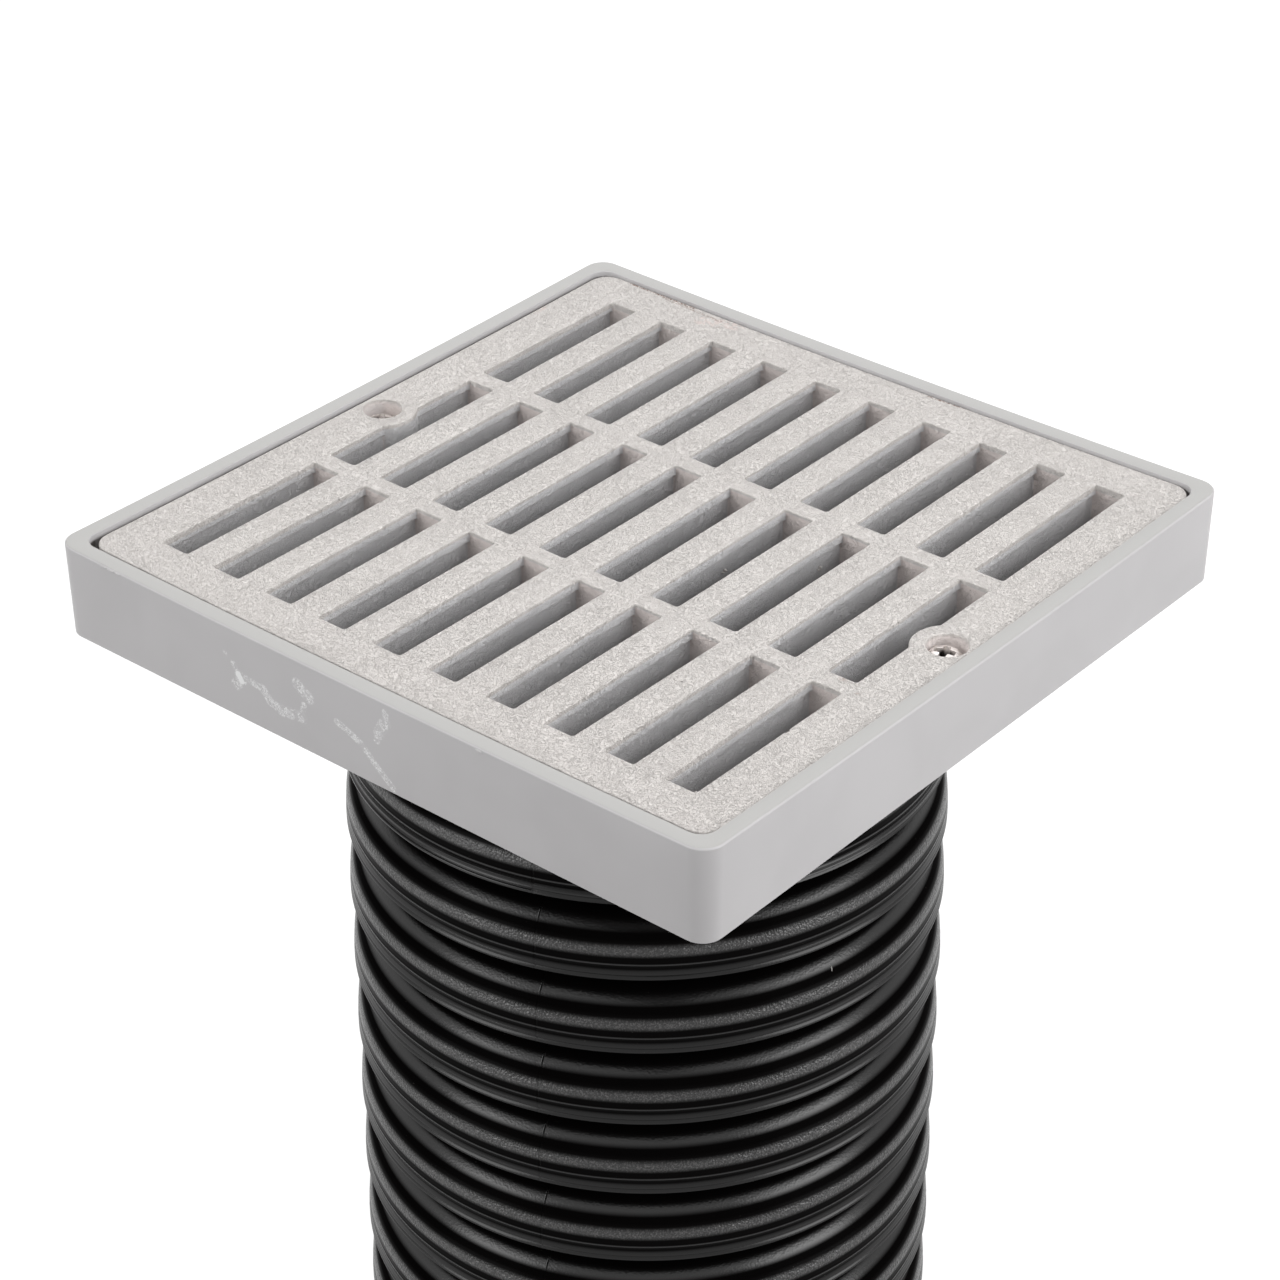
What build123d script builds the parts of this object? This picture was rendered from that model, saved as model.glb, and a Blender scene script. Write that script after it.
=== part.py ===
from build123d import *
from math import radians, tan
import os

os.makedirs("parts", exist_ok=True)

# Square drain grate in its frame, on a length of corrugated pipe.
# Millimetres. Z = 0 is the cut end of the pipe and the Z axis is the pipe's axis.

# Pipe, a nominal 6 inch dual-wall corrugated pipe with a smooth bore
pipe_bore_r = 76.2
pipe_wall = 1.2
crest_rise = 10.35
crest_pitch = 25.37
crest_count = 10
crest_wide = 16.0
top_stub = 1.4
bottom_stub = 9.3

# Grate, slotted in rows of narrow openings along Y
grate_side = 219.0
grate_corner_r = 6.5
grate_thick = 13.0
edge_border = 14.63
end_border = 13.9
columns = 10
rows = 3
slot_width = 9.74
row_gap = 6.3
lip_depth = 3.4
lip_overhang = 1.0
dish_r = 7000.0

# Frame round the grate
grate_gap = 0.8
grate_shift_x = 0.45
grate_shift_y = 0.5
rim_width = 5.2
rim_corner_r = 6.4
pocket_corner_r = 4.8
rim_proud = 0.95
rim_edge_bevel = 0.7
skirt_depth = 26.1
skirt_draft = 1.0
skirt_wall = 3.2
ledge_thick = 3.0
ledge_width = 14.3
throat_wall = 3.0
deck_thick = 3.0
gusset_thick = 2.0
gussets_per_side = 5
spigot_clearance = 0.6
spigot_wall = 3.0
spigot_length = 30.0

# Two screws, one on each side of the grate
screw_inset = 7.2
screw_shank_r = 2.4
screw_length = 16.0
head_r = 4.7
head_high = 3.2
left_head_depth = 2.3
right_head_depth = 1.0
pilot_clearance = 0.05
shank_room = 1.0
head_room = 1.05
guide_wall = 4.5
frame_boss_side = 12.0

# Levels above the cut end of the pipe
pipe_length = bottom_stub + (crest_count - 1) * crest_pitch + crest_wide + top_stub
seat_z = pipe_length
grate_top = seat_z + skirt_depth
ledge_z = grate_top - grate_thick
lip_z = grate_top - lip_depth
bore_floor = grate_top - left_head_depth - head_high

# Plan sizes of the grate
slot_pitch = (grate_side - 2 * edge_border - slot_width) / (columns - 1)
slot_length = (grate_side - 2 * end_border - (rows - 1) * row_gap) / rows
row_pitch = slot_length + row_gap
screw_x = grate_side / 2 - screw_inset
bore_r = head_r + head_room
guide_r = bore_r + guide_wall
clear_r = screw_shank_r + shank_room

# Plan sizes of the frame
pocket_side = grate_side + 2 * grate_gap
frame_side = pocket_side + 2 * rim_width
throat_side = pocket_side - 2 * ledge_width
throat_outer = throat_side + 2 * throat_wall
groove_side = frame_side - 2 * skirt_wall
spigot_r = pipe_bore_r - spigot_clearance
valley_r = pipe_bore_r + pipe_wall
crest_r = valley_r + crest_rise

grate_at = (grate_shift_x, grate_shift_y)
guides = [(grate_shift_x - screw_x, grate_shift_y), (grate_shift_x + screw_x, grate_shift_y)]
screws = [(-screw_x, 0), (screw_x, 0)]

# Corrugated pipe: broad crests with narrow valleys outside, plain inside
outside = [(pipe_bore_r, 0), (valley_r, 0)]
for i in range(crest_count):
    middle = bottom_stub + crest_wide / 2 + i * crest_pitch
    outside.append((valley_r, middle - crest_wide / 2))
    outside.append((crest_r, middle - crest_wide / 2))
    outside.append((crest_r, middle + crest_wide / 2))
    outside.append((valley_r, middle + crest_wide / 2))
outside += [(valley_r, pipe_length), (pipe_bore_r, pipe_length)]

with BuildPart() as corrugated_pipe:
    with BuildSketch(Plane.XZ):
        with BuildLine():
            Polyline(*outside, close=True)
        make_face()
    revolve(axis=Axis.Z)

# Frame: a drafted square box with the rim round its top
corner_rise = frame_side ** 2 / (4 * dish_r)
box_high = skirt_depth + rim_proud + corner_rise + 1
draft_run = (skirt_depth + rim_proud) * tan(radians(skirt_draft))
bottom_side = frame_side - 2 * draft_run

with BuildPart() as frame:
    with BuildSketch(Plane.XY.offset(seat_z)):
        RectangleRounded(bottom_side, bottom_side, rim_corner_r - draft_run)
    extrude(amount=box_high, taper=-skirt_draft)
    # Pocket that takes the grate, down to the ledge it rests on
    with BuildSketch(Plane.XY.offset(ledge_z)):
        RectangleRounded(pocket_side, pocket_side, pocket_corner_r)
    extrude(amount=box_high, mode=Mode.SUBTRACT)
    # Open groove under the ledge, between the skirt and the throat wall
    with BuildSketch(Plane.XY.offset(seat_z)):
        Rectangle(groove_side, groove_side)
        Rectangle(throat_outer, throat_outer, mode=Mode.SUBTRACT)
    extrude(amount=skirt_depth - grate_thick - ledge_thick, mode=Mode.SUBTRACT)
    # Square throat down to the deck
    with BuildSketch(Plane.XY.offset(seat_z + deck_thick)):
        Rectangle(throat_side, throat_side)
    extrude(amount=skirt_depth, mode=Mode.SUBTRACT)
    # Gussets and screw bosses in the groove
    gusset_step = throat_side / (gussets_per_side - 1)
    with BuildSketch(Plane.XY.offset(seat_z)):
        for j in range(gussets_per_side):
            if j == (gussets_per_side - 1) / 2:
                continue
            along = -throat_side / 2 + j * gusset_step
            for side in (-1, 1):
                across = side * (throat_outer + groove_side) / 4
                reach = (groove_side - throat_outer) / 2 + 1
                with Locations((along, across)):
                    Rectangle(gusset_thick, reach)
                with Locations((across, along)):
                    Rectangle(reach, gusset_thick)
        with Locations(*screws):
            Rectangle(frame_boss_side, frame_boss_side)
    extrude(amount=skirt_depth - grate_thick - 1)
    # Round spigot that stands in the pipe, and the way through it
    with BuildSketch(Plane.XY.offset(seat_z - spigot_length)):
        Circle(spigot_r)
    extrude(amount=spigot_length + 1)
    with BuildSketch(Plane.XY.offset(seat_z - spigot_length)):
        Circle(spigot_r - spigot_wall)
    extrude(amount=spigot_length + deck_thick, mode=Mode.SUBTRACT)
    # Pilot holes for the two screws
    with BuildSketch(Plane.XY.offset(seat_z)):
        with Locations(*screws):
            Circle(screw_shank_r + pilot_clearance)
    extrude(amount=skirt_depth, mode=Mode.SUBTRACT)
    # The rim is dished like the grate and stands a little proud of it
    with Locations((0, 0, grate_top + rim_proud + dish_r)):
        Sphere(dish_r, rotation=(90, 0, 0), mode=Mode.SUBTRACT)
    rim_top = frame.edges().filter_by(lambda e: e.bounding_box().min.Z > grate_top)
    outer = rim_top.filter_by(lambda e: max(abs(e.center().X), abs(e.center().Y)) > pocket_side / 2 + rim_width / 2)
    chamfer(outer, length=rim_edge_bevel)

# Grate: a slab whose ribs carry a lip along each side
with BuildPart() as grate:
    with BuildSketch(Plane.XY.offset(ledge_z)):
        with Locations(grate_at):
            RectangleRounded(grate_side, grate_side, grate_corner_r)
    extrude(amount=grate_thick + corner_rise + 1)
    # Openings, cut clear round the two screw guides
    with BuildSketch(Plane.XY.offset(ledge_z)):
        with Locations(grate_at):
            with GridLocations(slot_pitch, row_pitch, columns, rows):
                Rectangle(slot_width, slot_length)
        with Locations(*guides):
            Circle(guide_r, mode=Mode.SUBTRACT)
    extrude(amount=2 * grate_thick, mode=Mode.SUBTRACT)
    # Below the lips the webs are set back
    with BuildSketch(Plane.XY.offset(ledge_z)):
        with Locations(grate_at):
            with GridLocations(slot_pitch, row_pitch, columns, rows):
                Rectangle(slot_width + 2 * lip_overhang, slot_length)
        with Locations(*guides):
            Circle(guide_r, mode=Mode.SUBTRACT)
    extrude(amount=lip_z - ledge_z, mode=Mode.SUBTRACT)
    # Deep counterbores for the screw heads, with clearance holes
    with BuildSketch(Plane.XY.offset(bore_floor)):
        with Locations(*guides):
            Circle(bore_r)
    extrude(amount=grate_thick, mode=Mode.SUBTRACT)
    with BuildSketch(Plane.XY.offset(ledge_z)):
        with Locations(*guides):
            Circle(clear_r)
    extrude(amount=grate_thick, mode=Mode.SUBTRACT)
    # The top is dished, lowest in the middle
    with Locations((grate_shift_x, grate_shift_y, grate_top + dish_r)):
        Sphere(dish_r, rotation=(90, 0, 0), mode=Mode.SUBTRACT)


# Screws: a low round head on a plain shank
def screw_solid(x, head_top):
    seat = head_top - head_high
    with BuildPart() as one:
        with BuildSketch(Plane((x, 0, seat), x_dir=(1, 0, 0), z_dir=(0, -1, 0))):
            with BuildLine():
                Polyline(
                    (0, head_high), (0, -screw_length), (screw_shank_r, -screw_length),
                    (screw_shank_r, 0), (head_r, 0), (head_r, head_high), close=True,
                )
            make_face()
        revolve(axis=Axis((x, 0, 0), (0, 0, 1)))
    return one.part


screw_left = screw_solid(-screw_x, grate_top - left_head_depth)
screw_right = screw_solid(screw_x, grate_top - right_head_depth)

corrugated_pipe.part.label = "corrugated_pipe"
frame.part.label = "frame"
grate.part.label = "grate"
screw_left.label = "screw_left"
screw_right.label = "screw_right"
export_step(corrugated_pipe.part, "parts/corrugated_pipe.step")
export_step(frame.part, "parts/frame.step")
export_step(grate.part, "parts/grate.step")
export_step(screw_left, "parts/screw_left.step")
export_step(screw_right, "parts/screw_right.step")
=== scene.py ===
import logging
import math
import random
from dataclasses import dataclass
from enum import Enum
from typing import Iterable, Sequence

import bmesh
import bpy
from mathutils import Matrix, Vector
from mathutils.geometry import delaunay_2d_cdt


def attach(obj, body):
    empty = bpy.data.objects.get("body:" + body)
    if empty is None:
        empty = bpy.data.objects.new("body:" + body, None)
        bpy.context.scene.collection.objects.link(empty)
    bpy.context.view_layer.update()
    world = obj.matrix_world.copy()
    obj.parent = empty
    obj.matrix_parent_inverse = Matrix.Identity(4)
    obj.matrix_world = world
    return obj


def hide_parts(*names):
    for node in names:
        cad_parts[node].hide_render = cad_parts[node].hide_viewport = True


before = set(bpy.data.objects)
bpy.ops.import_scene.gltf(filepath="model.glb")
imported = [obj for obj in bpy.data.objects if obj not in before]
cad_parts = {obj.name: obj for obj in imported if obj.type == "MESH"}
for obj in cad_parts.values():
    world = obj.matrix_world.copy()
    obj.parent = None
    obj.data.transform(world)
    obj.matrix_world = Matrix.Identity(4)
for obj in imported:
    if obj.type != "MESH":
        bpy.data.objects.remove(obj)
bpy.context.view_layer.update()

logging.basicConfig(level=logging.INFO, format="%(name)s: %(message)s")
log = logging.getLogger("drain_grate")

MM = 0.001
ROOT = "root"
Point = tuple[float, float, float]
Flat = tuple[float, float]
Ring = tuple[Sequence[Flat], float]
Colour = tuple[float, float, float, float]
Socket = bpy.types.NodeSocket
Value = float | bpy.types.NodeSocket
# A mark: a line from one point to another, with its half width and its strength
Mark = tuple[Point, Point, float, float]

# Distances in millimetres within which vertices merge and slivers go
WELD = 0.004
SLIVER = 0.003
# A mark fades over this share of its half width, and this many millimetres more
FADE_SHARE = 0.6
FADE_MORE = 0.12

# Node types and settings that recur
MATH = "ShaderNodeMath"
VECTOR = "ShaderNodeVectorMath"
RANGE = "ShaderNodeMapRange"
SMOOTH = {"interpolation_type": "SMOOTHSTEP"}


# Sizes, in millimetres in the row's frame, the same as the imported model's
SEAT = 255.03
TOP = SEAT + 26.1
LEDGE = TOP - 13.0


@dataclass(frozen=True)
class GrateSizes:
    """Slotted grate, with the lips, the screw guides and the dish of its top."""

    top: float = TOP
    bottom: float = LEDGE
    side: float = 219.0
    corner_r: float = 6.5
    shift: Flat = (0.45, 0.5)
    columns: int = 10
    rows: int = 3
    pitch_x: float = 20.0
    pitch_y: float = 65.833
    slot_width: float = 9.74
    slot_length: float = 59.533
    slot_corner: float = 0.7
    lip_deep: float = 3.4
    lip_over: float = 1.0
    edge_round: float = 0.42
    outer_round: float = 0.5
    foot_round: float = 0.4
    screw_x: float = 102.3
    guide_r: float = 10.25
    guide_blend: float = 0.9
    bore_r: float = 5.75
    bore_floor: float = TOP - 5.5
    clear_r: float = 3.4
    dish_r: float = 7000.0
    dish_above: float = LEDGE + 4.0


@dataclass(frozen=True)
class FrameSizes:
    """Square frame: rim, skirt, ledge, throat, deck and the spigot in the pipe."""

    seat: float = SEAT
    side: float = 231.0
    side_below: float = 230.06
    corner_r: float = 6.4
    rim_base: float = TOP + 0.95
    pocket_side: float = 220.6
    pocket_r: float = 4.8
    ledge: float = LEDGE
    ledge_thick: float = 3.0
    throat_side: float = 192.0
    throat_wall: float = 3.0
    throat_r: float = 0.6
    skirt_wall: float = 3.2
    deck_thick: float = 3.0
    spigot_r: float = 75.6
    spigot_wall: float = 3.0
    spigot_low: float = SEAT - 30.0
    edge_bevel: float = 0.45
    bevel_round: float = 0.4
    inner_round: float = 0.35
    boss_side: float = 12.0
    pilot_r: float = 2.45
    gusset_thick: float = 2.0
    gussets: int = 5
    sunk: float = 0.3


# One corrugation's outline, as (height from the crest's middle, radius) from its top down
CREST_OUTLINE: tuple[Flat, ...] = (
    # Upper flank and shoulder
    (12.685, 77.4), (12.55, 78.4), (12.2, 79.6), (11.8, 80.6), (11.3, 81.6), (10.7, 82.5), (10.1, 83.25),
    (9.5, 83.9), (8.8, 84.6), (8.1, 85.2), (7.3, 85.8), (6.5, 86.3), (5.6, 86.75), (4.6, 87.15),
    # Face, with the first thin line
    (3.4, 87.5), (2.0, 87.62), (0.6, 87.68), (-0.1, 87.68), (-0.35, 87.8), (-0.6, 87.8), (-0.8, 87.66),
    # Second line and the groove under it
    (-1.8, 87.6), (-2.3, 87.58), (-2.7, 87.62), (-3.1, 87.75), (-3.5, 87.92), (-3.75, 87.95), (-3.95, 87.7),
    # Lip
    (-4.15, 87.4), (-4.35, 87.4), (-4.6, 87.65), (-5.0, 87.9), (-5.35, 87.95), (-5.7, 87.7), (-5.95, 87.1),
    # Steep wall down to the valley
    (-6.1, 86.0), (-6.25, 83.0), (-6.4, 80.0), (-6.8, 78.3), (-7.5, 77.5), (-9.0, 77.4), (-12.685, 77.4),
)


@dataclass(frozen=True)
class PipeSizes:
    """Corrugated pipe, with the place of its mould seam in degrees round the axis."""

    length: float = SEAT
    bore_r: float = 76.2
    valley_r: float = 77.4
    crest_r: float = 87.75
    pitch: float = 25.37
    count: int = 10
    first_crest: float = 16.2
    outline: tuple[Flat, ...] = CREST_OUTLINE
    seam: float = -70.6
    around: int = 168


@dataclass(frozen=True)
class ScrewSizes:
    """Round-headed screw. Outlines are (radius, height from the head's seat) pairs."""

    head_high: float = 3.2
    shank: tuple[Flat, ...] = ((0.0, -16.0), (1.2, -16.0), (2.4, -14.6), (2.4, -0.3), (2.6, 0.0), (4.55, 0.0))
    head: tuple[Flat, ...] = (
        (4.7, 0.15), (4.7, 1.35), (4.62, 1.75), (4.35, 2.2), (3.9, 2.55), (3.2, 2.85), (2.2, 3.07), (1.1, 3.17),
        (0.0, 3.2))
    # Cross recess from above the head down, as (span, width, height from the head's top)
    recess: tuple[Point, ...] = ((6.3, 2.0, 0.6), (5.9, 1.75, -0.3), (4.2, 1.3, -2.8))
    recess_blend: float = 0.25
    well_r: float = 1.8
    around: int = 72


GRATE = GrateSizes()
FRAME = FrameSizes()
PIPE = PipeSizes()
SCREW = ScrewSizes()
# Levels of the two heads' tops, the left one being driven deeper
LEFT_HEAD = TOP - 2.3
RIGHT_HEAD = TOP - 1.0


class Slot(Enum):
    """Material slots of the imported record."""

    GRATE = "grate_plastic"
    FRAME = "frame_plastic"
    STEEL = "stainless_steel"
    PIPE = "black_polyethylene"


# Node trees
def linear(hex_colour: str) -> Colour:
    """Turns an sRGB hex colour into linear RGBA.

    Args:
        hex_colour: six hex digits with a leading hash.

    Returns:
        Linear red, green and blue with an alpha of one.
    """
    parts = [int(hex_colour[i:i + 2], 16) / 255 for i in (1, 3, 5)]
    made = [c / 12.92 if c <= 0.04045 else ((c + 0.055) / 1.055) ** 2.4 for c in parts]
    return (made[0], made[1], made[2], 1.0)


class Nodes:
    """A node tree that is filled one node at a time."""

    def __init__(self, tree: bpy.types.NodeTree) -> None:
        """Takes a tree and clears it."""
        self.tree = tree
        tree.nodes.clear()

    def add(self, kind: str, *values: object, out: int | str = 0, **settings: object) -> Socket | None:
        """Adds a node with its settings and links.

        Args:
            kind: the node's type name.
            *values: its inputs in order, or one dict of them by name or index. A socket is linked, a list of
                sockets is linked one after another, and anything else is set.
            out: index or name of the output that is wanted.
            **settings: the node's own properties.

        Returns:
            The wanted output, or None where the node has none.
        """
        made = self.tree.nodes.new(kind)
        for name, value in settings.items():
            setattr(made, name, value)
        inputs = values[0] if values and isinstance(values[0], dict) else dict(enumerate(values))
        for key, value in inputs.items():
            for one in value if isinstance(value, list) else (value,):
                if isinstance(one, bpy.types.NodeSocket):
                    self.tree.links.new(one, made.inputs[key])
                else:
                    made.inputs[key].default_value = one
        return made.outputs[out] if len(made.outputs) else None

    def overlap(self, *masks: Value) -> Value:
        """Lays masks over one another, so that the result holds where all of them do.

        Args:
            *masks: masks from zero to one, or plain strengths.

        Returns:
            Their product.
        """
        made = masks[0]
        for mask in masks[1:]:
            made = self.add(MATH, made, mask, operation="MULTIPLY")
        return made


class Shader(Nodes):
    """One material's node tree, with positions in millimetres of the row's frame."""

    def __init__(self, name: str) -> None:
        """Starts a material of that name, with the position and its three parts ready.

        Args:
            name: the material's name.
        """
        self.material = bpy.data.materials.new(name)
        self.material.use_nodes = True
        super().__init__(self.material.node_tree)
        metres = self.add("ShaderNodeTexCoord", out="Object")
        self.place = self.add(VECTOR, {0: metres, 3: 1 / MM}, operation="SCALE")
        self.x, self.y, self.z = self.add("ShaderNodeSeparateXYZ", self.place).node.outputs

    def mottle(self, fine: float, detail: float = 2.0, swirl: float = 0.0, shift: float = 0.0) -> Socket:
        """Cloudy pattern that stays fixed to the piece.

        Args:
            fine: how many patches fit in a millimetre.
            detail: how many finer steps are laid over it.
            swirl: how far it is distorted.
            shift: an offset that sets it apart from the other patterns.

        Returns:
            A value about one half.
        """
        place = self.add(VECTOR, self.place, (shift, shift, shift), operation="ADD")
        return self.add("ShaderNodeTexNoise", {
            "Vector": place, "Scale": fine, "Detail": detail, "Distortion": swirl})

    def facing(self, axis: int) -> Socket:
        """Part of the surface's normal along X, Y or Z, given as 0, 1 or 2. Returns its socket."""
        normal = self.add("ShaderNodeNewGeometry", out="True Normal")
        return self.add("ShaderNodeSeparateXYZ", normal, out=axis)

    def edge(self, half: float, soft: float) -> Socket:
        """Mask of what lies outside a square about the axis, or inside it where soft is negative.

        Args:
            half: half of the square's side.
            soft: width of the fade.

        Returns:
            The mask.
        """
        reach = self.add(
            MATH, *(self.add(MATH, part, operation="ABSOLUTE") for part in (self.x, self.y)), operation="MAXIMUM")
        low, high = sorted((half, half + soft))
        ends = (0.0, 1.0) if soft > 0 else (1.0, 0.0)
        return self.add(RANGE, reach, low, high, *ends, **SMOOTH)

    def buried(self) -> Socket:
        """Mask of what lies more than a millimetre below the dished top.

        Returns:
            The mask.
        """
        square = self.add(MATH, self.overlap(self.x, self.x), self.overlap(self.y, self.y), operation="ADD")
        rise = self.add(MATH, square, 2 * GRATE.dish_r, operation="DIVIDE")
        level = self.add(MATH, self.z, rise, operation="SUBTRACT")
        return self.add(RANGE, level, TOP - 1.3, TOP - 0.5, 1.0, 0.0, **SMOOTH)

    def near(self, a: Point, b: Point, width: float, soft: float) -> Socket:
        """Mask of what lies near the line from a to b.

        Args:
            a: one end.
            b: the other end.
            width: distance from the line within which the mask is one.
            soft: further distance over which it fades.

        Returns:
            The mask.
        """
        start, line = Vector(a), Vector(b) - Vector(a)
        square = max(line.length, 1e-6) ** 2
        away = self.add(VECTOR, self.place, tuple(start), operation="SUBTRACT")
        along = self.add(VECTOR, away, tuple(line / square), operation="DOT_PRODUCT", out="Value")
        held = self.add(MATH, self.add(MATH, along, 0.0, operation="MAXIMUM"), 1.0, operation="MINIMUM")
        foot = self.add(VECTOR, {0: tuple(line), 3: held}, operation="SCALE")
        gap = self.add(VECTOR, away, foot, operation="DISTANCE", out="Value")
        return self.add(RANGE, gap, width, width + soft, 1.0, 0.0, **SMOOTH)

    def marks(self, lines: Sequence[Mark]) -> Value:
        """Mask of several marks, each at its own strength.

        Args:
            lines: the marks.

        Returns:
            The mask, one where a mark is full.
        """
        mask: Value = 0.0
        for a, b, width, power in lines:
            mark = self.overlap(self.near(a, b, width, width * FADE_SHARE + FADE_MORE), power)
            mask = self.add(MATH, mask, mark, operation="MAXIMUM")
        return mask

    def paint(self, tone: Socket | Colour, colour: str, *masks: Value) -> Socket:
        """Lays a colour over a tone.

        Args:
            tone: what it is laid on.
            colour: the sRGB hex colour.
            *masks: masks and strengths. It is laid where all of them hold.

        Returns:
            The new tone.
        """
        return self.add("ShaderNodeMix", {0: self.overlap(*masks), 6: tone, 7: linear(colour)},
                        out=2, data_type="RGBA")

    def stain(self, tone: Socket, colour: str, lines: Sequence[Mark], broken: float = 0.0) -> Socket:
        """Colours some marks.

        Args:
            tone: what they are laid on.
            colour: their sRGB hex colour.
            lines: the marks.
            broken: patches in a millimetre of the pattern that breaks them up, or zero to leave them whole.

        Returns:
            The new tone.
        """
        masks = [self.marks(lines)]
        if broken:
            masks.append(self.add(RANGE, self.mottle(broken, 3.0, 0.5, 3.0), 0.38, 0.62, **SMOOTH))
        return self.paint(tone, colour, *masks)

    def finish(self, inputs: dict[str, object]) -> bpy.types.Material:
        """Ends the tree in one principled shader with those inputs. Returns the material."""
        self.add("ShaderNodeOutputMaterial", self.add("ShaderNodeBsdfPrincipled", inputs))
        return self.material


# Marks in the photograph, on the grate
PINK: tuple[Mark, ...] = (
    ((-64.6, 104.6, TOP + 1.1), (-54.0, 108.5, TOP + 1.1), 2.0, 0.45),
    ((-109.0, 80.4, TOP + 1.3), (-108.6, 76.0, TOP + 1.3), 1.2, 0.5),
)
BORES: tuple[Mark, ...] = (
    ((-101.85, 0.5, TOP - 5.5), (-101.85, 0.5, TOP), 6.0, 0.6),
    ((102.75, 0.5, TOP - 5.5), (102.75, 0.5, TOP), 6.0, 0.95),
)
SOILED: tuple[Mark, ...] = (
    ((-98.0, 109.6, TOP + 1.5), (-72.0, 109.4, TOP + 1.2), 0.45, 0.9),
    ((-84.0, 108.6, TOP + 1.3), (-60.0, 107.6, TOP + 1.1), 0.35, 0.5),
    ((17.9, 109.3, TOP + 0.9), (30.0, 109.9, TOP + 0.9), 0.35, 0.9),
    ((98.4, -33.6, TOP + 0.8), (99.2, -33.0, TOP + 0.8), 0.25, 0.5),
    ((92.0, -30.4, TOP - 1.0), (92.6, -30.4, TOP - 4.0), 1.6, 0.5),
)
DARK_SPOTS: tuple[Mark, ...] = (
    ((60.1, -57.7, TOP + 0.5), (60.3, -57.6, TOP + 0.5), 0.12, 0.9),
    ((95.4, -59.4, TOP + 0.9), (95.5, -58.6, TOP + 0.9), 0.4, 0.9),
    ((95.3, -46.2, TOP + 0.8), (95.3, -45.8, TOP + 0.8), 0.22, 0.7),
)

# Scuffs on the frame's skirt at -Y: chains of (x, depth below the top), then half width and strength
SKIRT_Y = -115.3
SCUFF_LINES: tuple[tuple[Flat, Flat, float, float], ...] = (
    ((-46.9, 9.2), (-44.9, 12.6), 0.7, 0.95),
    ((-45.2, 12.0), (-44.2, 13.6), 1.0, 1.0),
    ((-46.5, 15.7), (-43.5, 12.7), 1.2, 0.95),
    ((-43.5, 12.0), (-36.0, 12.9), 0.8, 0.95),
    ((-36.0, 12.9), (-33.6, 15.8), 1.1, 0.95),
    ((-33.6, 15.8), (-29.6, 16.9), 1.1, 0.95),
    ((-29.6, 16.9), (-21.7, 15.8), 1.3, 0.95),
    ((-21.7, 15.8), (-20.7, 11.5), 0.7, 0.9),
    ((-22.6, 5.8), (-18.6, 8.3), 1.4, 0.95),
    ((-8.6, 11.7), (-3.3, 13.5), 0.8, 0.95),
    ((-3.3, 13.5), (-0.2, 14.9), 0.8, 0.95),
    ((-0.2, 14.9), (3.9, 18.8), 0.8, 0.95),
    ((3.9, 18.8), (7.3, 21.7), 0.8, 0.95),
    ((7.3, 21.7), (10.7, 24.3), 0.8, 0.95),
    ((9.4, 1.2), (9.2, 4.4), 0.8, 0.9),
    ((9.2, 4.4), (6.4, 8.9), 1.3, 0.95),
    ((6.4, 8.9), (5.6, 11.4), 0.8, 0.95),
    ((-49.8, 6.7), (-49.5, 7.0), 0.5, 0.6),
)
SCUFFS: tuple[Mark, ...] = tuple(
    ((ax, SKIRT_Y, TOP - ad), (bx, SKIRT_Y, TOP - bd), width, power)
    for (ax, ad), (bx, bd), width, power in SCUFF_LINES)


def on_pipe(azimuth: float, below: float, r: float) -> Point:
    """Point on the pipe at an azimuth in degrees, a depth below the frame's seat and a radius."""
    turn = math.radians(azimuth)
    return (r * math.cos(turn), r * math.sin(turn), SEAT - below)


SPECKS: tuple[Mark, ...] = (
    (on_pipe(-62.6, 53.2, 84.9), on_pipe(-62.4, 53.4, 85.0), 0.1, 1.0),
    (on_pipe(-62.2, 55.7, 86.2), on_pipe(-62.0, 55.8, 86.2), 0.05, 0.7),
    (on_pipe(-13.0, 78.7, 85.3), on_pipe(-12.6, 77.2, 84.4), 0.06, 0.8),
)


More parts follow.
